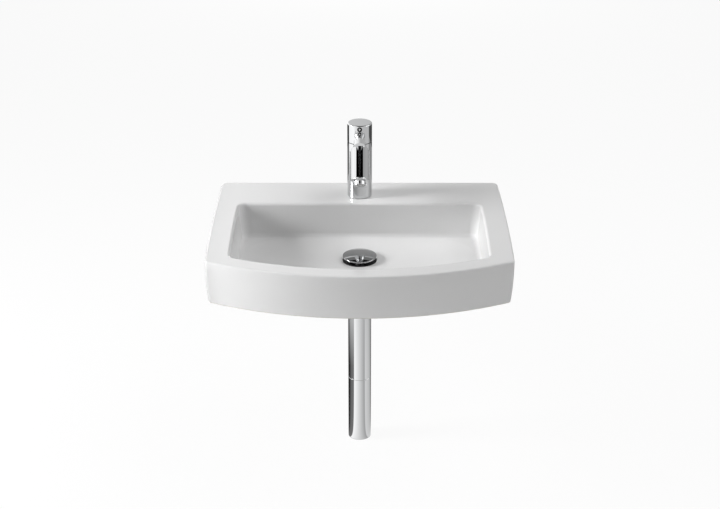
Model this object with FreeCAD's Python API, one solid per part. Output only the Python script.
import FreeCAD, Part
import math
import os

# A countertop basin with a single-lever tap on its rear deck and a push waste in its bowl.
# Millimetres, +X right, +Y backwards, +Z up. The origin is on the waste axis,
# in the plane that the foot of the basin stands on.

# Basin, outside
BASIN_WIDTH = 526.0         # between the middles of the bowed sides
BASIN_DEPTH = 424.0         # back edge to the middle of the bowed front edge
BASIN_HEIGHT = 78.0         # foot to rim
FRONT_ARC_RADIUS = 565.0
SIDE_ARC_RADIUS = 6500.0
SIDE_ARC_Y = -30.0          # where the sides are widest apart
SKIRT_LEAN = 3.9            # foot of the sides and front inside their rim
SKIRT_SWEEP = 2.5           # power by which they draw in, upright at the rim
SKIRT_STEPS = 3
BACK_CORNER_RADIUS = 12.0
FRONT_CORNER_RADIUS = 10.0
INNER_CORNER_RADIUS = 1.0   # least corner of the hollow inside the skirt
RIM_EDGE_RADIUS = 3.0
SKIRT_WALL = 12.0
RIM_PLATE = 14.0            # thickness of the rim and of the tap deck

# Basin, bowl
SIDE_RIM = 41.5
FRONT_RIM = 35.0
DECK_DEPTH = 105.0
BOWL_DEPTH = 64.0           # rim to the foot of the bowl wall
BOWL_DRAFT = 5.0            # degrees
BOWL_CORNER_RADIUS = 16.0
BOWL_FLOOR_RADIUS = 9.0
BOWL_LIP_RADIUS = 4.5
BOWL_WALL = 11.0
DISH_CORNER_RADIUS = 70.0   # the floor falls to the drain inside this rounder outline
DISH_DROP = 10.5            # foot of the bowl wall down to the drain

# Basin, drain and tap hole
DRAIN_SETBACK = 85.0        # back edge of the bowl to the waste axis
DRAIN_HOLE_RADIUS = 23.0
DRAIN_BOSS_RADIUS = 46.0
DRAIN_BOSS_DROP = 15.5      # floor at the drain down to the underside of the boss
FLANGE_RECESS_GAP = 0.8
TAP_SETBACK = 43.0          # back edge of the bowl to the tap axis
TAP_HOLE_RADIUS = 17.5

# Waste
FLANGE_RADIUS = 30.2
FLANGE_THICKNESS = 2.2
FLANGE_SEAL_THICKNESS = 0.8
THROAT_RADIUS = 25.0        # mouth of the cone that the plug closes
THROAT_DEPTH = 7.5
WASTE_THREAD_RADIUS = 20.9
WASTE_BORE_RADIUS = 18.0
WASTE_THREAD_LENGTH = 52.0  # flange top to the end of the threaded tail
TAIL_SPIGOT_LENGTH = 15.0
SPIDER_DEPTH = 11.5         # flange top to the top of the spider
SPIDER_HEIGHT = 6.0
SPIDER_HUB_RADIUS = 9.5
SPIDER_ARM_WIDTH = 3.0
SPIDER_ARMS = 3
LOWER_SEAL_THICKNESS = 4.0
LOWER_SEAL_RADIUS = 33.0
SLIP_WASHER_THICKNESS = 1.5
LOCK_NUT_HEIGHT = 10.0
LOCK_NUT_FLAT = 27.0        # half of the width across its flats
LOCK_NUT_FLANGE_RADIUS = 31.0
LOCK_NUT_FLANGE_HEIGHT = 2.5
THREAD_GAP = 0.1

# Plug
PLUG_RADIUS = 30.5
PLUG_EDGE = 2.4             # height of the upright rim of the cap
PLUG_EDGE_RADIUS = 0.6      # round edges of that rim
PLUG_RISE = 4.0             # dome above that rim
PLUG_SHELL = 1.6
PLUG_TRAVEL = 6.2           # from up to shut
PLUG_SEAT_GAP = 0.3         # left under the rim when the plug is shut
PLUG_BOSS_RADIUS = 7.0
GASKET_RADIUS = 22.2
GASKET_WIDTH = 3.6
GASKET_HEIGHT = 2.8
STEM_RADIUS = 3.0
STEM_TAIL_RADIUS = 2.0
STEM_COLLAR_RADIUS = 5.1
STEM_COLLAR_HEIGHT = 2.0
STEM_COLLAR_DEPTH = 4.5     # underside of the bush down to the collar
HOUSING_RADIUS = 6.8
HOUSING_BORE = 5.4
HOUSING_LENGTH = 28.0       # below the hub's top face
HOUSING_FLOOR = 1.8
HOUSING_COLLAR_RADIUS = 8.6
HOUSING_COLLAR_HEIGHT = 1.5
BUSH_HEIGHT = 3.0
CLIP_RADIUS = 4.2
CLIP_THICKNESS = 0.8
CLIP_GROOVE_RADIUS = 1.5
CLIP_MOUTH = 1.2            # half width of the opening of the clip
STEM_TAIL_END = 2.0         # stem below its clip
SPRING_RADIUS = 4.1
SPRING_WIRE = 1.0
SPRING_TURNS = 6

# Tail pipe
TAIL_RADIUS = 21.0
TAIL_WALL = 1.5
UPPER_TAIL_LENGTH = 183.5   # end of the waste thread to the seam
LOWER_TAIL_LENGTH = 126.5   # seam to the open end
TAIL_SPIGOT_WALL = 2.4
SEAM_CHAMFER = 0.4
JOINT_GAP = 0.2             # between a spigot and the tube round it
JOINT_RING_HEIGHT = 2.4
JOINT_RING_GROOVE = 1.3

# Tap barrel and spout
TAP_RADIUS = 22.5
TAP_FOOT_GAP = 0.5          # tap foot above the deck, taken up by the gasket
TAP_BODY_HEIGHT = 105.5     # tap foot to the joint line under the handle
SPOUT_RADIUS = 16.2
SPOUT_SLOPE = 25.0          # degrees below level
SPOUT_FACE_SLOPE = 53.0     # degrees below level that the end face looks
SPOUT_ROOT_DROP = 1.0       # joint line down to where the top of the spout leaves the barrel
SPOUT_REACH = 97.0          # tap axis to the top of the end face
SPOUT_EDGE_RADIUS = 2.0     # round edge of the end face
SPOUT_BORE = 6.0
FOOT_CHAMFER = 0.6
BASE_GASKET_RADIUS = 20.8
BASE_GASKET_WIDTH = 2.6
BASE_GASKET_HEIGHT = 2.0
INLET_X = 8.5
INLET_Y = 4.0
INLET_RADIUS = 5.0
INLET_LENGTH = 14.0
INLET_BORE = 3.2
OUTLET_Y = -9.5
OUTLET_BORE = 4.0
OUTLET_DROP = 10.0          # cartridge floor down to the turn into the spout

# Aerator
AERATOR_RADIUS = 10.8
AERATOR_DEPTH = 9.0
AERATOR_PROUD = 7.5
AERATOR_WALL = 1.4
AERATOR_GAP = 0.1
AERATOR_WASHER = 1.6
INSERT_DISC = 1.2           # perforated plates of the jet former
INSERT_HOLES = 8
INSERT_HOLE_RADIUS = 1.3

# Fixing under the deck
STUD_RADIUS = 4.0
STUD_Y = -9.0
STUD_IN_TAP = 18.0
STUD_BELOW_NUT = 8.0
CLAMP_RADIUS = 24.0
CLAMP_GASKET = 2.5
CLAMP_PLATE = 3.0
CLAMP_SLOT = 15.2           # half width of the way for the supply tails
CLAMP_SLOT_Y = -2.5
STUD_NUT_HEIGHT = 22.0
STUD_NUT_FLAT = 6.5

# Cartridge, stacked down from the nut that closes its bore
CARTRIDGE_RADIUS = 17.5
CARTRIDGE_GAP = 0.2
SEAL_GAP = 0.5              # cartridge base above the floor
SEAL_RING_WIDTH = 1.5
SEAL_RING_HEIGHT = 1.6
CARTRIDGE_BASE = 3.4
CARTRIDGE_WALL = 2.3
FIXED_DISC = 3.0
FIXED_DISC_RADIUS = 14.8
MOVING_DISC = 5.5
MOVING_DISC_RADIUS = 10.8
DISC_SHIFT = 3.1            # moving disc behind the axis when shut
DISC_GAP = 0.3
TURRET_FLANGE = 3.6
TURRET_FLANGE_RADIUS = 14.6
TURRET_RADIUS = 9.8
TURRET_GAP = 0.2
CARTRIDGE_ROOF = 2.9
NECK_RADIUS = 12.6
NECK_HEIGHT = 4.3
PIVOT_RISE = 2.0            # lever pivot above the top of the tap body
FORK_RISE = 4.9             # top of the turret's fork above the pivot
PIN_RADIUS = 1.5
PIN_GAP = 0.05
SPINDLE_HALF = 4.0          # half of the square shaft
SPINDLE_EYE_RADIUS = 4.4
FORK_GAP = 0.3
TONGUE_HALF_X = 2.5
TONGUE_RADIUS = 2.0
TONGUE_GRIP = 3.5           # depth of the tongue in the moving disc
TONGUE_GAP = 0.8
LIFT_ANGLE = 25.0           # degrees from shut to full flow
NUT_INNER_RADIUS = 13.0
NUT_RADIUS = 19.3
NUT_HEIGHT = 4.0
NUT_SOCKET_GAP = 0.2
NUT_SLOTS = 4
NUT_SLOT_WIDTH = 4.0
NUT_SLOT_DEPTH = 1.6

# Handle
HANDLE_GAP = 1.2            # joint line between barrel and handle
HANDLE_HEIGHT = 34.8
HANDLE_PLATE = 4.0
HANDLE_WALL = 3.0
HANDLE_EDGE_RADIUS = 2.2
TILT_MARGIN = 2.0           # degrees beyond the lift that the handle's back is cut away
DOME_GAP = 0.6
DOME_SHELL = 1.2
DOME_OPENING = 46.0         # degrees from upright to the edge of the spindle opening
LEVER_LENGTH = 56.5         # beyond the handle's front
LEVER_DROP = 11.2           # handle top down to the lever's crown
LEVER_THICKNESS = 5.4
LEVER_CROWN = 4.0
LEVER_ROOT_HALF = 9.4
LEVER_TIP_HALF = 9.8
LEVER_TIP_RADIUS = 2.5
SOCKET_BOSS_RADIUS = 8.0
SOCKET_BOSS_DROP = 10.0     # below the top plate
SOCKET_GAP = 0.1
SPINDLE_TOP_GAP = 1.5       # spindle end below the top plate
SCREW_DROP = 6.5            # handle top down to the grub screw's axis
SCREW_RADIUS = 2.0
SCREW_LENGTH = 11.0
SCREW_KEY_FLAT = 1.2        # half of the hexagon socket
SCREW_KEY_DEPTH = 2.0
SCREW_RIB_HALF = 4.2
INDICATOR_RADIUS = 4.6
INDICATOR_DEPTH = 1.4
INDICATOR_GAP = 0.05

# Places worked out from the sizes above
Z_AXIS = FreeCAD.Vector(0, 0, 1)
EDGE_TOLERANCE = 1e-4       # for finding edges by their place
BASIN_BACK = DECK_DEPTH + DRAIN_SETBACK
BASIN_FRONT = BASIN_DEPTH - BASIN_BACK
TAP_Y = DRAIN_SETBACK + TAP_SETBACK
FRONT_ARC_Y = FRONT_ARC_RADIUS - BASIN_FRONT
SIDE_ARC_X = SIDE_ARC_RADIUS - BASIN_WIDTH / 2
BOWL_FOOT_Z = BASIN_HEIGHT - BOWL_DEPTH
DRAIN_Z = BOWL_FOOT_Z - DISH_DROP
FLANGE_TOP_Z = DRAIN_Z
FLANGE_UNDER_Z = FLANGE_TOP_Z - FLANGE_THICKNESS
FLANGE_SEAT_Z = FLANGE_UNDER_Z - FLANGE_SEAL_THICKNESS
BOSS_Z = DRAIN_Z - DRAIN_BOSS_DROP
DECK_UNDER_Z = BASIN_HEIGHT - RIM_PLATE
WASTE_END_Z = FLANGE_TOP_Z - WASTE_THREAD_LENGTH
TAIL_SEAM_Z = WASTE_END_Z - UPPER_TAIL_LENGTH
TAIL_END_Z = TAIL_SEAM_Z - LOWER_TAIL_LENGTH
TAIL_BORE = TAIL_RADIUS - TAIL_WALL
THROAT_END_Z = FLANGE_TOP_Z - THROAT_DEPTH
CONE_RADIUS = WASTE_THREAD_RADIUS + THROAT_RADIUS - WASTE_BORE_RADIUS
HUB_TOP_Z = FLANGE_TOP_Z - SPIDER_DEPTH
HOUSING_END_Z = HUB_TOP_Z - HOUSING_LENGTH
SPRING_FLOOR_Z = HOUSING_END_Z + HOUSING_FLOOR
BUSH_TOP_Z = HUB_TOP_Z + HOUSING_COLLAR_HEIGHT
COLLAR_TOP_Z = BUSH_TOP_Z - BUSH_HEIGHT - STEM_COLLAR_DEPTH
COLLAR_UNDER_Z = COLLAR_TOP_Z - STEM_COLLAR_HEIGHT
PLUG_RIM_Z = FLANGE_TOP_Z + PLUG_SEAT_GAP + PLUG_TRAVEL
PLUG_TOP_Z = PLUG_RIM_Z + PLUG_EDGE + PLUG_RISE
STEM_TOP_Z = PLUG_TOP_Z - 2 * PLUG_SHELL
TAP_FOOT_Z = BASIN_HEIGHT + TAP_FOOT_GAP
TAP_BODY_TOP = TAP_FOOT_Z + TAP_BODY_HEIGHT
ROOF_TOP_Z = TAP_BODY_TOP - NUT_HEIGHT
ROOF_Z = ROOF_TOP_Z - CARTRIDGE_ROOF
TURRET_NECK_Z = ROOF_Z - TURRET_GAP
TURRET_Z = TURRET_NECK_Z - TURRET_FLANGE
MOVING_DISC_TOP_Z = TURRET_Z - DISC_GAP
MOVING_DISC_Z = MOVING_DISC_TOP_Z - MOVING_DISC
FIXED_DISC_Z = MOVING_DISC_Z - FIXED_DISC
CARTRIDGE_BASE_Z = FIXED_DISC_Z - CARTRIDGE_BASE
CARTRIDGE_FLOOR_Z = CARTRIDGE_BASE_Z - SEAL_GAP
PIVOT_Z = TAP_BODY_TOP + PIVOT_RISE
TONGUE_END_Z = MOVING_DISC_TOP_Z - TONGUE_GRIP
TONGUE_TIP_Z = TONGUE_END_Z + TONGUE_RADIUS
HANDLE_Z = TAP_BODY_TOP + HANDLE_GAP
HANDLE_TOP = HANDLE_Z + HANDLE_HEIGHT
HANDLE_BORE = TAP_RADIUS - HANDLE_WALL
HANDLE_ROOF_Z = HANDLE_TOP - HANDLE_PLATE
LEVER_TOP_Z = HANDLE_TOP - LEVER_DROP
SCREW_Z = HANDLE_TOP - SCREW_DROP
DOME_RADIUS = HANDLE_BORE - DOME_GAP
SPOUT_ROOT_Z = TAP_BODY_TOP - SPOUT_ROOT_DROP
TAP_FRONT_Y = TAP_Y - TAP_RADIUS
SPOUT_DOWN = math.radians(SPOUT_SLOPE)
FACE_DOWN = math.radians(SPOUT_FACE_SLOPE)
SPOUT_WAY = FreeCAD.Vector(0, -math.cos(SPOUT_DOWN), -math.sin(SPOUT_DOWN))
FACE_WAY = FreeCAD.Vector(0, -math.cos(FACE_DOWN), -math.sin(FACE_DOWN))
PORTS = ((-INLET_X, INLET_Y, INLET_BORE), (INLET_X, INLET_Y, INLET_BORE), (0.0, OUTLET_Y, OUTLET_BORE))


def vector(x, y, z=0.0):
    return FreeCAD.Vector(x, y, z)


def drum(radius, z_low, z_high, x=0.0, y=0.0):
    """Upright solid cylinder between two heights."""
    return Part.makeCylinder(radius, z_high - z_low, vector(x, y, z_low))


def ring(outer, inner, z_low, z_high, x=0.0, y=0.0):
    """Upright tube between two heights."""
    return drum(outer, z_low, z_high, x, y).cut(drum(inner, z_low, z_high, x, y))


def block(x_low, x_high, y_low, y_high, z_low, z_high):
    """Box between two corners."""
    return Part.makeBox(x_high - x_low, y_high - y_low, z_high - z_low, vector(x_low, y_low, z_low))


def turned(profile, y=0.0):
    """Solid turned about the upright axis at (0, y) from (radius, height) corners."""
    corners = [vector(radius, y, z) for radius, z in profile]
    face = Part.Face(Part.makePolygon(corners + corners[:1]))
    return face.revolve(vector(0, y), Z_AXIS, 360)


def hexagon(flat, z_low, z_high, x=0.0, y=0.0):
    """Upright hexagonal prism, flat is half of its width across the flats."""
    reach = flat / math.cos(math.radians(30))
    turns = [math.radians(60 * corner) for corner in range(6)]
    corners = [vector(x + reach * math.cos(turn), y + reach * math.sin(turn), z_low) for turn in turns]
    face = Part.Face(Part.makePolygon(corners + corners[:1]))
    return face.extrude(vector(0, 0, z_high - z_low))


def fuse_all(first, *others):
    return first.fuse(list(others)).removeSplitter()


def meeting_point(first, first_radius, second, second_radius):
    """Where two level circles meet in front of the line from the first centre to the second."""
    way = second - first
    span = way.Length
    along = (first_radius ** 2 - second_radius ** 2 + span ** 2) / (2 * span)
    aside = math.sqrt(first_radius ** 2 - along ** 2)
    return first + way * (along / span) + vector(way.y, -way.x) * (aside / span)


def bowed_outline(half, back, front_radius, corner_back, corner_front, z):
    """Outline with a straight back, bowed sides, a bowed front and four round corners."""
    side_radius = half + SIDE_ARC_X
    side_centre = vector(-SIDE_ARC_X, SIDE_ARC_Y)
    front_centre = vector(0, FRONT_ARC_Y)
    heel_y = back - corner_back
    heel_reach = math.sqrt((side_radius - corner_back) ** 2 - (heel_y - SIDE_ARC_Y) ** 2)
    heel = vector(heel_reach - SIDE_ARC_X, heel_y)
    toe = meeting_point(side_centre, side_radius - corner_front, front_centre, front_radius - corner_front)
    heel_out = (heel - side_centre).normalize()
    toe_out = (toe - side_centre).normalize()
    front_out = (toe - front_centre).normalize()
    heel_side = side_centre + heel_out * side_radius
    toe_side = side_centre + toe_out * side_radius
    toe_front = front_centre + front_out * front_radius
    heel_back = vector(heel.x, back)
    heel_middle = heel + (heel_out + vector(0, 1)).normalize() * corner_back
    side_middle = side_centre + (heel_out + toe_out).normalize() * side_radius
    toe_middle = toe + (toe_out + front_out).normalize() * corner_front
    flank = [heel_back, heel_middle, heel_side, side_middle, toe_side, toe_middle, toe_front]
    left = [vector(-point.x, point.y, z) for point in flank]
    front = vector(0, FRONT_ARC_Y - front_radius, z)
    right = [vector(point.x, point.y, z) for point in reversed(flank)]
    track = left + [front] + right
    edges = [Part.LineSegment(track[-1], track[0]).toShape()]
    for start in range(0, len(track) - 1, 2):
        edges.append(Part.Arc(*track[start:start + 3]).toShape())
    return Part.Wire(edges)


def skirt_outline(inset, z):
    """Outer outline of the basin, moved in by the skirt's lean at that height and by inset."""
    lean = SKIRT_LEAN * (1 - z / BASIN_HEIGHT) ** SKIRT_SWEEP
    half = BASIN_WIDTH / 2 - inset - lean
    corner_back = max(BACK_CORNER_RADIUS - inset, INNER_CORNER_RADIUS)
    corner_front = max(FRONT_CORNER_RADIUS - inset, INNER_CORNER_RADIUS)
    front = FRONT_ARC_RADIUS - inset - lean
    return bowed_outline(half, BASIN_BACK - inset, front, corner_back, corner_front, z)


def bowl_outline(outset, z):
    """Outline of the bowl at that height, moved out by outset."""
    inset = (BASIN_HEIGHT - z) * math.tan(math.radians(BOWL_DRAFT)) - outset
    half = BASIN_WIDTH / 2 - SIDE_RIM - inset
    back = BASIN_BACK - DECK_DEPTH - inset
    corner = BOWL_CORNER_RADIUS + outset
    return bowed_outline(half, back, FRONT_ARC_RADIUS - FRONT_RIM - inset, corner, corner, z)


def level_edges(shape, z):
    """Edges of a shape that lie in one level plane."""
    boxes = [(edge, edge.BoundBox) for edge in shape.Edges]
    return [edge for edge, box in boxes if max(abs(box.ZMin - z), abs(box.ZMax - z)) < EDGE_TOLERANCE]


def bowl_block(outset, foot_z, top_z):
    """The bowl as a solid: drafted walls with a round foot."""
    walls = Part.makeLoft([bowl_outline(outset, foot_z), bowl_outline(outset, top_z)], True, True)
    return walls.makeFillet(BOWL_FLOOR_RADIUS + outset, level_edges(walls, foot_z))


def dish_block(outset, foot_z, drain_radius, drain_z):
    """The floor as a solid: a shallow dish from the foot of the walls down to the drain."""
    foot = BOWL_DEPTH * math.tan(math.radians(BOWL_DRAFT)) + BOWL_FLOOR_RADIUS
    half = BASIN_WIDTH / 2 - SIDE_RIM - foot
    back = BASIN_BACK - DECK_DEPTH - foot
    front = FRONT_ARC_RADIUS - FRONT_RIM - foot
    corner = min(DISH_CORNER_RADIUS, back)
    top = bowed_outline(half, back, front, corner, corner, foot_z)
    ends = [edge.Vertexes[0].Point for edge in Part.__sortEdges__(top.Edges)]
    turns = [math.atan2(point.y, point.x) for point in ends]
    arcs = []
    for start, end in zip(turns, turns[1:] + turns[:1]):
        end = end if end > start else end + 2 * math.pi
        places = [start, (start + end) / 2, end]
        points = [vector(drain_radius * math.cos(t), drain_radius * math.sin(t), drain_z) for t in places]
        arcs.append(Part.Arc(*points).toShape())
    return Part.makeLoft([top, Part.Wire(arcs)], True, True)


def basin_body():
    """Glazed ceramic casting: rim, skirt, bowl and drain boss, open underneath."""
    heights = [BASIN_HEIGHT * step / SKIRT_STEPS for step in range(SKIRT_STEPS + 1)]
    outside = Part.makeLoft([skirt_outline(0, z) for z in heights], True, False)
    outside = outside.makeFillet(RIM_EDGE_RADIUS, level_edges(outside, BASIN_HEIGHT))
    inner_outlines = [skirt_outline(SKIRT_WALL, 0), skirt_outline(SKIRT_WALL, DECK_UNDER_Z)]
    inside = Part.makeLoft(inner_outlines, True, True)
    under_foot_z = BOWL_FOOT_Z - BOWL_WALL
    bowl_under = bowl_block(BOWL_WALL, under_foot_z, BASIN_HEIGHT - RIM_EDGE_RADIUS)
    dish_under = dish_block(BOWL_WALL, under_foot_z, DRAIN_BOSS_RADIUS, BOSS_Z)
    bowl = bowl_block(0, BOWL_FOOT_Z, BASIN_HEIGHT)
    dish = dish_block(0, BOWL_FOOT_Z, FLANGE_RADIUS + FLANGE_RECESS_GAP, DRAIN_Z)
    body = outside.cut(inside).fuse([bowl_under, dish_under]).removeSplitter()
    body = body.cut(bowl).cut(dish)
    mouth = bowl_outline(0, BASIN_HEIGHT).BoundBox
    mouth.enlarge(EDGE_TOLERANCE)
    lip = [edge for edge in level_edges(body, BASIN_HEIGHT) if mouth.isInside(edge.BoundBox)]
    body = body.makeFillet(BOWL_LIP_RADIUS, lip)
    body = body.cut(drum(FLANGE_RADIUS + FLANGE_RECESS_GAP, FLANGE_SEAT_Z, DRAIN_Z + DISH_DROP))
    body = body.cut(drum(DRAIN_HOLE_RADIUS, BOSS_Z, DRAIN_Z))
    cone = Part.makeCone(WASTE_THREAD_RADIUS + FLANGE_RECESS_GAP, CONE_RADIUS + FLANGE_RECESS_GAP,
                         FLANGE_UNDER_Z - THROAT_END_Z, vector(0, 0, THROAT_END_Z))
    body = body.cut(cone)
    return body.cut(drum(TAP_HOLE_RADIUS, DECK_UNDER_Z, BASIN_HEIGHT, 0, TAP_Y))


def waste_flange():
    """Flange, throat cone and threaded tail in one turning, with a three-armed spider inside."""
    spigot_z = WASTE_END_Z - TAIL_SPIGOT_LENGTH
    spigot = TAIL_BORE - JOINT_GAP
    turning = turned([
        (THROAT_RADIUS, FLANGE_TOP_Z), (FLANGE_RADIUS, FLANGE_TOP_Z),
        (FLANGE_RADIUS, FLANGE_UNDER_Z), (CONE_RADIUS, FLANGE_UNDER_Z),
        (WASTE_THREAD_RADIUS, THROAT_END_Z), (WASTE_THREAD_RADIUS, WASTE_END_Z),
        (spigot, WASTE_END_Z), (spigot, spigot_z),
        (spigot - TAIL_SPIGOT_WALL, spigot_z), (spigot - TAIL_SPIGOT_WALL, WASTE_END_Z),
        (WASTE_BORE_RADIUS, WASTE_END_Z + TAIL_SPIGOT_WALL), (WASTE_BORE_RADIUS, THROAT_END_Z)])
    hub_z = HUB_TOP_Z - SPIDER_HEIGHT
    spider = drum(SPIDER_HUB_RADIUS, hub_z, HUB_TOP_Z)
    reach = (WASTE_BORE_RADIUS + WASTE_THREAD_RADIUS) / 2
    for arm in range(SPIDER_ARMS):
        bar = block(0, reach, -SPIDER_ARM_WIDTH / 2, SPIDER_ARM_WIDTH / 2, hub_z, HUB_TOP_Z)
        bar.rotate(vector(0, 0), Z_AXIS, 90 + 360 * arm / SPIDER_ARMS)
        spider = spider.fuse(bar)
    body = fuse_all(turning, spider)
    body = body.cut(drum(HOUSING_RADIUS + THREAD_GAP, hub_z, HUB_TOP_Z))
    return body.cut(joint_ring(spigot_z + TAIL_SPIGOT_LENGTH / 2, 0))


def joint_ring(z, slack):
    """Rubber ring in the groove of a tail spigot, round the height z, slack is its play in the groove."""
    floor = TAIL_BORE - JOINT_GAP - JOINT_RING_GROOVE
    half = JOINT_RING_HEIGHT / 2 - slack
    return ring(TAIL_BORE - slack, floor + slack, z - half, z + half)


def upper_joint_ring():
    return joint_ring(WASTE_END_Z - TAIL_SPIGOT_LENGTH / 2, THREAD_GAP / 2)


def lower_joint_ring():
    return joint_ring(TAIL_SEAM_Z + TAIL_SPIGOT_LENGTH / 2, THREAD_GAP / 2)


def upper_tail_tube():
    """Plain chromed tube from the waste tail to the seam."""
    return turned([
        (TAIL_BORE, WASTE_END_Z), (TAIL_RADIUS, WASTE_END_Z), (TAIL_RADIUS, TAIL_SEAM_Z + SEAM_CHAMFER),
        (TAIL_RADIUS - SEAM_CHAMFER, TAIL_SEAM_Z), (TAIL_BORE, TAIL_SEAM_Z)])


def lower_tail_tube():
    """Outlet tube with a spigot that enters the upper tube."""
    spigot = TAIL_BORE - JOINT_GAP
    bore = spigot - TAIL_SPIGOT_WALL
    top_z = TAIL_SEAM_Z + TAIL_SPIGOT_LENGTH
    shoulder_z = TAIL_SEAM_Z - TAIL_SPIGOT_WALL
    tube = turned([
        (TAIL_RADIUS - SEAM_CHAMFER, TAIL_SEAM_Z), (TAIL_RADIUS, TAIL_SEAM_Z - SEAM_CHAMFER),
        (TAIL_RADIUS, TAIL_END_Z), (TAIL_BORE, TAIL_END_Z), (TAIL_BORE, shoulder_z),
        (bore, TAIL_SEAM_Z), (bore, top_z), (spigot, top_z), (spigot, TAIL_SEAM_Z)])
    return tube.cut(joint_ring(TAIL_SEAM_Z + TAIL_SPIGOT_LENGTH / 2, 0))


def flange_seal():
    """Flat rubber ring between the flange and its seat in the ceramic."""
    return ring(FLANGE_RADIUS, CONE_RADIUS, FLANGE_SEAT_Z, FLANGE_UNDER_Z)


def lower_seal():
    """Rubber washer with a cone that centres it in the drain hole."""
    low = BOSS_Z - LOWER_SEAL_THICKNESS
    inner = WASTE_THREAD_RADIUS + THREAD_GAP
    lip = (inner + DRAIN_HOLE_RADIUS) / 2
    return turned([
        (inner, low), (LOWER_SEAL_RADIUS, low), (LOWER_SEAL_RADIUS, BOSS_Z),
        (DRAIN_HOLE_RADIUS - THREAD_GAP, BOSS_Z),
        (lip, BOSS_Z + LOWER_SEAL_THICKNESS), (inner, BOSS_Z + LOWER_SEAL_THICKNESS)])


def slip_washer():
    top = BOSS_Z - LOWER_SEAL_THICKNESS
    inner = WASTE_THREAD_RADIUS + THREAD_GAP
    return ring(LOCK_NUT_FLANGE_RADIUS, inner, top - SLIP_WASHER_THICKNESS, top)


def lock_nut():
    """Flanged hexagon nut that draws the waste down on the bowl."""
    top = BOSS_Z - LOWER_SEAL_THICKNESS - SLIP_WASHER_THICKNESS
    nut = hexagon(LOCK_NUT_FLAT, top - LOCK_NUT_HEIGHT, top)
    nut = fuse_all(nut, drum(LOCK_NUT_FLANGE_RADIUS, top - LOCK_NUT_FLANGE_HEIGHT, top))
    return nut.cut(drum(WASTE_THREAD_RADIUS + THREAD_GAP, top - LOCK_NUT_HEIGHT, top))


def dome(radius, rise, z):
    """Cap of a sphere standing on the level z."""
    sphere = (radius ** 2 + rise ** 2) / (2 * rise)
    ball = Part.makeSphere(sphere, vector(0, 0, z + rise - sphere))
    return ball.common(drum(radius, z, z + rise))


def capped_drum(radius, rise, low, z):
    """Drum from low up to z with a dome on it."""
    return fuse_all(drum(radius, low, z), dome(radius, rise, z))


def plug_cap():
    """Shallow chromed dome with a thin rim, hollow below, with a boss for the stem and a gasket seat."""
    rim_top = PLUG_RIM_Z + PLUG_EDGE
    whole = capped_drum(PLUG_RADIUS, PLUG_RISE, PLUG_RIM_Z, rim_top)
    whole = whole.makeFillet(PLUG_EDGE_RADIUS, level_edges(whole, PLUG_RIM_Z) + level_edges(whole, rim_top))
    ball = (PLUG_RADIUS ** 2 + PLUG_RISE ** 2) / (2 * PLUG_RISE)
    under = Part.makeSphere(ball - PLUG_SHELL, vector(0, 0, PLUG_TOP_Z - ball))
    shell = whole.cut(under.common(drum(PLUG_RADIUS - PLUG_SHELL, PLUG_RIM_Z, PLUG_TOP_Z)))
    boss = drum(PLUG_BOSS_RADIUS, PLUG_RIM_Z, PLUG_TOP_Z)
    seat = ring(GASKET_RADIUS, GASKET_RADIUS - GASKET_WIDTH, PLUG_RIM_Z, PLUG_TOP_Z)
    body = fuse_all(shell, boss.common(whole), seat.common(whole))
    return body.cut(drum(STEM_RADIUS, PLUG_RIM_Z, STEM_TOP_Z))


def plug_gasket():
    """Rubber ring under the cap that closes the throat."""
    return ring(GASKET_RADIUS, GASKET_RADIUS - GASKET_WIDTH, PLUG_RIM_Z - GASKET_HEIGHT, PLUG_RIM_Z)


def plug_stem():
    """Stem from the cap through the bush, with a collar on the spring and a tail below the housing."""
    clip_z = HOUSING_END_Z - CLIP_THICKNESS
    end_z = clip_z - STEM_TAIL_END
    groove = CLIP_GROOVE_RADIUS
    return turned([
        (0, end_z), (STEM_TAIL_RADIUS, end_z), (STEM_TAIL_RADIUS, clip_z),
        (groove, clip_z), (groove, HOUSING_END_Z),
        (STEM_TAIL_RADIUS, HOUSING_END_Z), (STEM_TAIL_RADIUS, COLLAR_UNDER_Z),
        (STEM_COLLAR_RADIUS, COLLAR_UNDER_Z), (STEM_COLLAR_RADIUS, COLLAR_TOP_Z),
        (STEM_RADIUS, COLLAR_TOP_Z), (STEM_RADIUS, STEM_TOP_Z), (0, STEM_TOP_Z)])


def stem_clip():
    """Spring clip in the stem's groove that stops the plug from coming out."""
    top = HOUSING_END_Z
    clip = ring(CLIP_RADIUS, CLIP_GROOVE_RADIUS, top - CLIP_THICKNESS, top)
    return clip.cut(block(0, CLIP_RADIUS, -CLIP_MOUTH, CLIP_MOUTH, top - CLIP_THICKNESS, top))


def click_housing():
    """Sleeve in the spider's hub that guides the stem and holds the spring."""
    tail_way = STEM_TAIL_RADIUS + JOINT_GAP
    return turned([
        (tail_way, HOUSING_END_Z), (HOUSING_RADIUS, HOUSING_END_Z), (HOUSING_RADIUS, HUB_TOP_Z),
        (HOUSING_COLLAR_RADIUS, HUB_TOP_Z), (HOUSING_COLLAR_RADIUS, BUSH_TOP_Z),
        (HOUSING_BORE, BUSH_TOP_Z), (HOUSING_BORE, SPRING_FLOOR_Z), (tail_way, SPRING_FLOOR_Z)])


def stem_bush():
    return ring(HOUSING_BORE, STEM_RADIUS + JOINT_GAP, BUSH_TOP_Z - BUSH_HEIGHT, BUSH_TOP_Z)


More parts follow.
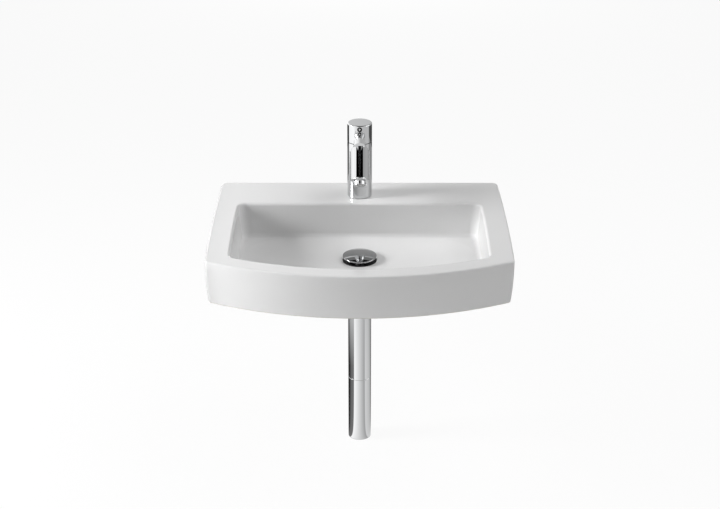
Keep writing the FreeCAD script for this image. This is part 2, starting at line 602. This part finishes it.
def click_spring():
    """Compression spring between the housing's floor and the stem's collar, one unbroken wire."""
    wire = SPRING_WIRE / 2
    low = SPRING_FLOOR_Z + wire + JOINT_GAP
    high = COLLAR_UNDER_Z - wire - JOINT_GAP
    steps = 4 * SPRING_TURNS

    def place(step):
        turn = math.pi * step / 2
        z = low + (high - low) * step / steps
        return vector(SPRING_RADIUS * math.cos(turn), SPRING_RADIUS * math.sin(turn), z)

    edges = [Part.Arc(place(step), place(step + 0.5), place(step + 1)).toShape() for step in range(steps)]
    path = Part.Wire(edges)
    start = edges[0].tangentAt(edges[0].FirstParameter)
    section = Part.Wire([Part.Circle(place(0), start, wire).toShape()])
    gap = (high - low) / SPRING_TURNS - SPRING_WIRE
    print("click_spring gap between turns", round(gap, 2))
    return path.makePipeShell([section], True, False)


def spout_axis(y):
    """Point of the spout's axis at a distance y behind the waste axis."""
    root = SPOUT_ROOT_Z - SPOUT_RADIUS / math.cos(SPOUT_DOWN)
    return vector(0, y, root + (y - TAP_FRONT_Y) * math.tan(SPOUT_DOWN))


def spout_face_centre():
    """Where the spout's axis meets its slanting end face."""
    tip_y = TAP_Y - SPOUT_REACH
    tip = spout_axis(tip_y) + vector(0, 0, SPOUT_RADIUS / math.cos(SPOUT_DOWN))
    start = spout_axis(TAP_FRONT_Y)
    run = (tip - start).dot(FACE_WAY) / SPOUT_WAY.dot(FACE_WAY)
    return start + SPOUT_WAY * run


def tap_body():
    """Barrel and spout in one casting, with the cartridge bore, the waterways and the fixing holes."""
    barrel = drum(TAP_RADIUS, TAP_FOOT_Z, TAP_BODY_TOP, 0, TAP_Y)
    barrel = barrel.makeChamfer(FOOT_CHAMFER, level_edges(barrel, TAP_FOOT_Z))
    centre = spout_face_centre()
    start = spout_axis(TAP_Y)
    length = (centre - start).Length + 2 * SPOUT_RADIUS
    spout = Part.makeCylinder(SPOUT_RADIUS, length, start, SPOUT_WAY)
    beyond = Part.makeCylinder(length, length, centre, FACE_WAY)
    above = drum(length, TAP_BODY_TOP, TAP_BODY_TOP + length, 0, TAP_Y)
    spout = spout.cut(beyond)
    rim = [edge for edge in spout.Edges if abs((edge.CenterOfMass - centre).dot(FACE_WAY)) < EDGE_TOLERANCE]
    spout = spout.makeFillet(SPOUT_EDGE_RADIUS, rim)
    body = fuse_all(barrel, spout.cut(above))
    cuts = [drum(CARTRIDGE_RADIUS + CARTRIDGE_GAP, CARTRIDGE_FLOOR_Z, TAP_BODY_TOP, 0, TAP_Y),
            drum(NUT_RADIUS + NUT_SOCKET_GAP, ROOF_TOP_Z, TAP_BODY_TOP, 0, TAP_Y),
            ring(BASE_GASKET_RADIUS, BASE_GASKET_RADIUS - BASE_GASKET_WIDTH,
                 TAP_FOOT_Z, BASIN_HEIGHT + BASE_GASKET_HEIGHT, 0, TAP_Y),
            drum(STUD_RADIUS, TAP_FOOT_Z, TAP_FOOT_Z + STUD_IN_TAP, 0, TAP_Y + STUD_Y)]
    for side in (-1, 1):
        place = (side * INLET_X, TAP_Y + INLET_Y)
        cuts.append(drum(INLET_RADIUS, TAP_FOOT_Z, TAP_FOOT_Z + INLET_LENGTH, *place))
        cuts.append(drum(INLET_BORE, TAP_FOOT_Z, CARTRIDGE_FLOOR_Z, *place))
    turn_z = CARTRIDGE_FLOOR_Z - OUTLET_DROP
    turn = vector(0, TAP_Y + OUTLET_Y, turn_z)
    mouth = spout_axis(TAP_FRONT_Y)
    cuts.append(drum(OUTLET_BORE, turn_z, CARTRIDGE_FLOOR_Z, 0, TAP_Y + OUTLET_Y))
    cuts.append(Part.makeSphere(OUTLET_BORE, turn))
    cuts.append(Part.makeCylinder(OUTLET_BORE, (mouth - turn).Length, turn, mouth - turn))
    cuts.append(Part.makeCylinder(SPOUT_BORE, (centre - mouth).Length - AERATOR_DEPTH, mouth, SPOUT_WAY))
    socket = AERATOR_DEPTH + AERATOR_WASHER
    cuts.append(Part.makeCylinder(AERATOR_RADIUS + AERATOR_GAP, socket, centre, FACE_WAY * -1))
    return body.cut(cuts)


def on_spout(shape):
    """Place a shape made about +Z, whose level 0 is the spout's end face, on that face, pointing out."""
    shape.Placement = FreeCAD.Placement(spout_face_centre(), FreeCAD.Rotation(Z_AXIS, FACE_WAY))
    return shape


def aerator_housing():
    """Threaded sleeve screwed into the spout, with a lip that keeps the insert in."""
    bore = AERATOR_RADIUS - AERATOR_WALL
    return on_spout(turned([
        (bore, -AERATOR_DEPTH), (AERATOR_RADIUS, -AERATOR_DEPTH), (AERATOR_RADIUS, AERATOR_PROUD),
        (bore - AERATOR_WALL, AERATOR_PROUD), (bore - AERATOR_WALL, AERATOR_PROUD - AERATOR_WALL),
        (bore, AERATOR_PROUD - AERATOR_WALL)]))


def aerator_insert():
    """Jet former: a cup with a perforated plate at each end."""
    outer = AERATOR_RADIUS - AERATOR_WALL - AERATOR_GAP
    low = AERATOR_PROUD - AERATOR_WALL - AERATOR_DEPTH
    high = AERATOR_PROUD - AERATOR_WALL
    cup = drum(outer, low, high).cut(drum(outer - AERATOR_WALL, low + INSERT_DISC, high - INSERT_DISC))
    circle = (outer - AERATOR_WALL) / 2
    holes = [drum(INSERT_HOLE_RADIUS, low, high)]
    for hole in range(INSERT_HOLES):
        turn = 2 * math.pi * hole / INSERT_HOLES
        holes.append(drum(INSERT_HOLE_RADIUS, low, high, circle * math.cos(turn), circle * math.sin(turn)))
    return on_spout(cup.cut(holes))


def aerator_washer():
    return on_spout(ring(AERATOR_RADIUS, AERATOR_RADIUS - 2 * AERATOR_WALL, -AERATOR_DEPTH - AERATOR_WASHER,
                         -AERATOR_DEPTH))


def base_gasket():
    """Rubber ring in a groove of the tap foot."""
    return ring(BASE_GASKET_RADIUS, BASE_GASKET_RADIUS - BASE_GASKET_WIDTH, BASIN_HEIGHT,
                BASIN_HEIGHT + BASE_GASKET_HEIGHT, 0, TAP_Y)


def mounting_stud():
    low = DECK_UNDER_Z - CLAMP_GASKET - CLAMP_PLATE - STUD_NUT_HEIGHT - STUD_BELOW_NUT
    return drum(STUD_RADIUS, low, TAP_FOOT_Z + STUD_IN_TAP, 0, TAP_Y + STUD_Y)


def horseshoe(z_low, z_high):
    """Disc under the deck, slotted from the back for the supply tails and bored for the stud."""
    disc = drum(CLAMP_RADIUS, z_low, z_high, 0, TAP_Y)
    slot = block(-CLAMP_SLOT, CLAMP_SLOT, TAP_Y + CLAMP_SLOT_Y, TAP_Y + CLAMP_RADIUS, z_low, z_high)
    return disc.cut(slot).cut(drum(STUD_RADIUS + THREAD_GAP, z_low, z_high, 0, TAP_Y + STUD_Y))


def clamp_gasket():
    return horseshoe(DECK_UNDER_Z - CLAMP_GASKET, DECK_UNDER_Z)


def clamp_plate():
    top = DECK_UNDER_Z - CLAMP_GASKET
    return horseshoe(top - CLAMP_PLATE, top)


def stud_nut():
    """Long hexagon nut that pulls the clamp plate up to the deck."""
    top = DECK_UNDER_Z - CLAMP_GASKET - CLAMP_PLATE
    low = top - STUD_NUT_HEIGHT
    nut = hexagon(STUD_NUT_FLAT, low, top, 0, TAP_Y + STUD_Y)
    return nut.cut(drum(STUD_RADIUS + THREAD_GAP, low, top, 0, TAP_Y + STUD_Y))


def ported(shape, z_low, z_high):
    """Bore the three ports of the cartridge through a shape."""
    return shape.cut([drum(radius, z_low, z_high, x, TAP_Y + y) for x, y, radius in PORTS])


def cartridge_seals():
    """One rubber ring round each port, between the cartridge base and its floor."""
    rings = [ring(radius + SEAL_RING_WIDTH, radius, CARTRIDGE_FLOOR_Z, CARTRIDGE_FLOOR_Z + SEAL_RING_HEIGHT,
                  x, TAP_Y + y) for x, y, radius in PORTS]
    return Part.makeCompound(rings)


def cartridge_base():
    base = drum(CARTRIDGE_RADIUS, CARTRIDGE_BASE_Z, FIXED_DISC_Z, 0, TAP_Y)
    groove_z = CARTRIDGE_FLOOR_Z + SEAL_RING_HEIGHT
    grooves = [drum(radius + SEAL_RING_WIDTH, CARTRIDGE_BASE_Z, groove_z, x, TAP_Y + y)
               for x, y, radius in PORTS]
    return ported(base.cut(grooves), CARTRIDGE_BASE_Z, FIXED_DISC_Z)


def fixed_disc():
    """Ceramic disc with the three ports, held in the cartridge base."""
    disc = drum(FIXED_DISC_RADIUS, FIXED_DISC_Z, MOVING_DISC_Z, 0, TAP_Y)
    return ported(disc, FIXED_DISC_Z, MOVING_DISC_Z)


def moving_disc():
    """Ceramic disc that the spindle's tongue slides over the fixed one."""
    disc = drum(MOVING_DISC_RADIUS, MOVING_DISC_Z, MOVING_DISC_TOP_Z, 0, TAP_Y + DISC_SHIFT)
    half_x = TONGUE_HALF_X + DISC_GAP
    half_y = TONGUE_RADIUS + TONGUE_GAP
    floor = TONGUE_END_Z - DISC_GAP
    return disc.cut(block(-half_x, half_x, TAP_Y - half_y, TAP_Y + half_y, floor, MOVING_DISC_TOP_Z))


def cartridge_housing():
    """Cup over the discs, with a neck that guides the turret."""
    bore = CARTRIDGE_RADIUS - CARTRIDGE_WALL
    neck = TURRET_RADIUS + TURRET_GAP
    top = ROOF_TOP_Z + NECK_HEIGHT
    return turned([
        (bore, FIXED_DISC_Z), (CARTRIDGE_RADIUS, FIXED_DISC_Z), (CARTRIDGE_RADIUS, ROOF_TOP_Z),
        (NECK_RADIUS, ROOF_TOP_Z), (NECK_RADIUS, top), (neck, top), (neck, ROOF_Z), (bore, ROOF_Z)], TAP_Y)


def swing_reach(length, half):
    """How far the tilting spindle reaches to one side, that far from the pivot."""
    return length * math.tan(math.radians(LIFT_ANGLE)) + half / math.cos(math.radians(LIFT_ANGLE))


def cartridge_turret():
    """Turning driver: a flange over the moving disc and a fork that carries the spindle's pin."""
    top = PIVOT_Z + FORK_RISE
    body = fuse_all(drum(TURRET_FLANGE_RADIUS, TURRET_Z, TURRET_NECK_Z, 0, TAP_Y),
                    drum(TURRET_RADIUS, TURRET_NECK_Z, top, 0, TAP_Y))
    half = SPINDLE_HALF + FORK_GAP
    body = body.cut(block(-half, half, TAP_Y - TURRET_RADIUS, TAP_Y + TURRET_RADIUS, TURRET_NECK_Z, top))
    front = TAP_Y - swing_reach(PIVOT_Z - TURRET_Z, TONGUE_RADIUS) - TONGUE_GAP
    back = TAP_Y + TONGUE_RADIUS + TONGUE_GAP
    way = TONGUE_HALF_X + FORK_GAP
    body = body.cut(block(-way, way, front, back, TURRET_Z, TURRET_NECK_Z))
    return body.cut(pivot_rod(PIN_RADIUS + PIN_GAP, TURRET_RADIUS))


def pivot_rod(radius, half):
    """Rod along X through the lever's pivot."""
    return Part.makeCylinder(radius, 2 * half, vector(-half, TAP_Y, PIVOT_Z), vector(1, 0))


def cartridge_pin():
    return pivot_rod(PIN_RADIUS, TURRET_RADIUS - 2 * FORK_GAP)


def cartridge_spindle():
    """Lever of the cartridge: square shaft above the pin, eye on it, tongue with a round tip below."""
    half = SPINDLE_HALF
    width = TONGUE_HALF_X
    top = HANDLE_ROOF_Z - SPINDLE_TOP_GAP
    front = TAP_Y - TONGUE_RADIUS
    back = TAP_Y + TONGUE_RADIUS
    shaft = block(-half, half, TAP_Y - half, TAP_Y + half, PIVOT_Z, top)
    tongue = block(-width, width, front, back, TONGUE_TIP_Z, PIVOT_Z)
    tip = Part.makeCylinder(TONGUE_RADIUS, 2 * width, vector(-width, TAP_Y, TONGUE_TIP_Z), vector(1, 0))
    body = fuse_all(shaft, tongue, tip, pivot_rod(SPINDLE_EYE_RADIUS, half))
    return body.cut(pivot_rod(PIN_RADIUS + PIN_GAP, half))


def cartridge_nut():
    """Threaded ring that holds the cartridge down, slotted for its key."""
    nut = ring(NUT_RADIUS, NUT_INNER_RADIUS, ROOF_TOP_Z, TAP_BODY_TOP, 0, TAP_Y)
    reach = NUT_INNER_RADIUS + NUT_SLOT_DEPTH
    for slot in range(NUT_SLOTS):
        cut = block(0, reach, -NUT_SLOT_WIDTH / 2, NUT_SLOT_WIDTH / 2, ROOF_TOP_Z, TAP_BODY_TOP)
        cut.rotate(vector(0, 0), Z_AXIS, 360 * slot / NUT_SLOTS)
        cut.translate(vector(0, TAP_Y))
        nut = nut.cut(cut)
    return nut


def dome_ring():
    """Part of a ball round the lever's pivot, standing on the nut, open above for the spindle."""
    pivot = vector(0, TAP_Y, PIVOT_Z)
    shell = Part.makeSphere(DOME_RADIUS, pivot).cut(Part.makeSphere(DOME_RADIUS - DOME_SHELL, pivot))
    top = PIVOT_Z + DOME_RADIUS * math.cos(math.radians(DOME_OPENING))
    return shell.common(drum(DOME_RADIUS + DOME_SHELL, TAP_BODY_TOP, top, 0, TAP_Y))


def lever_bar():
    """Flat lever with a crowned top, a little wider at its rounded end."""
    tip_y = TAP_FRONT_Y - LEVER_LENGTH
    low = LEVER_TOP_Z - LEVER_THICKNESS
    edge_z = LEVER_TOP_Z - LEVER_CROWN

    def section(half, y):
        left = vector(-half, y, edge_z)
        right = vector(half, y, edge_z)
        crown = Part.Arc(right, vector(0, y, LEVER_TOP_Z), left).toShape()
        under = Part.makePolygon([left, vector(-half, y, low), vector(half, y, low), right])
        return Part.Wire([crown] + under.Edges)

    def upright_at_tip(edge):
        box = edge.BoundBox
        return abs(box.YMax - tip_y) < EDGE_TOLERANCE and box.XLength < EDGE_TOLERANCE

    bar = Part.makeLoft([section(LEVER_ROOT_HALF, TAP_Y), section(LEVER_TIP_HALF, tip_y)], True, True)
    return bar.makeFillet(LEVER_TIP_RADIUS, [edge for edge in bar.Edges if upright_at_tip(edge)])


def handle():
    """Hollow barrel with the lever, its back cut away so that it can tilt, and a socket for the spindle."""
    barrel = drum(TAP_RADIUS, HANDLE_Z, HANDLE_TOP, 0, TAP_Y)
    barrel = barrel.makeFillet(HANDLE_EDGE_RADIUS, level_edges(barrel, HANDLE_TOP))
    body = fuse_all(barrel, lever_bar())
    body = body.cut(drum(HANDLE_BORE, HANDLE_Z, HANDLE_ROOF_Z, 0, TAP_Y))
    far = 3 * TAP_RADIUS
    wedge = block(-far, far, TAP_Y, TAP_Y + far, HANDLE_Z - far, HANDLE_Z)
    wedge.rotate(vector(0, TAP_Y, HANDLE_Z), vector(1, 0), LIFT_ANGLE + TILT_MARGIN)
    body = body.cut(wedge)
    boss_z = HANDLE_ROOF_Z - SOCKET_BOSS_DROP
    boss = drum(SOCKET_BOSS_RADIUS, boss_z, HANDLE_ROOF_Z, 0, TAP_Y)
    rib_z = SCREW_Z - SCREW_RIB_HALF
    rib = block(-SCREW_RIB_HALF, SCREW_RIB_HALF, TAP_Y - HANDLE_BORE, TAP_Y, rib_z, HANDLE_ROOF_Z)
    body = fuse_all(body, boss, rib)
    half = SPINDLE_HALF + SOCKET_GAP
    body = body.cut(block(-half, half, TAP_Y - half, TAP_Y + half, boss_z, HANDLE_ROOF_Z))
    body = body.cut(screw_rod(SCREW_RADIUS + SOCKET_GAP, 0, TAP_RADIUS))
    return body.cut(screw_rod(INDICATOR_RADIUS, TAP_RADIUS - INDICATOR_DEPTH, 2 * TAP_RADIUS))


def screw_rod(radius, near, far):
    """Rod along the grub screw's axis, between two distances in front of the tap axis."""
    return Part.makeCylinder(radius, far - near, vector(0, TAP_Y - far, SCREW_Z), vector(0, 1))


def handle_screw():
    """Grub screw that grips the square shaft, with a hexagon socket."""
    near = SPINDLE_HALF
    far = near + SCREW_LENGTH
    screw = screw_rod(SCREW_RADIUS, near, far)
    key = hexagon(SCREW_KEY_FLAT, far - SCREW_KEY_DEPTH, far)
    key.rotate(vector(0, 0), vector(1, 0), 90)
    key.translate(vector(0, TAP_Y, SCREW_Z))
    return screw.cut(key)


def indicator_cap():
    """Round plug in the handle's front, flush with the barrel."""
    plug = screw_rod(INDICATOR_RADIUS - INDICATOR_GAP, TAP_RADIUS - INDICATOR_DEPTH, 2 * TAP_RADIUS)
    return plug.common(drum(TAP_RADIUS, HANDLE_Z, HANDLE_TOP, 0, TAP_Y))


NODES = (
    basin_body, waste_flange, flange_seal, lower_seal, slip_washer, lock_nut,
    plug_cap, plug_gasket, plug_stem, stem_clip, stem_bush, click_housing, click_spring,
    upper_tail_tube, upper_joint_ring, lower_tail_tube, lower_joint_ring,
    tap_body, base_gasket, aerator_housing, aerator_insert, aerator_washer,
    mounting_stud, clamp_gasket, clamp_plate, stud_nut,
    cartridge_base, cartridge_seals, fixed_disc, moving_disc, cartridge_housing, cartridge_turret,
    cartridge_pin, cartridge_spindle, cartridge_nut, dome_ring,
    handle, handle_screw, indicator_cap)

os.makedirs("parts", exist_ok=True)
for make in NODES:
    solid = make()
    solid.exportStep(os.path.join("parts", make.__name__ + ".step"))
    box = solid.BoundBox
    print(f"{make.__name__:18s} valid {solid.isValid()} solids {len(solid.Solids)} faces {len(solid.Faces)}"
          f" volume {solid.Volume:.0f} z {box.ZMin:.1f} to {box.ZMax:.1f}")
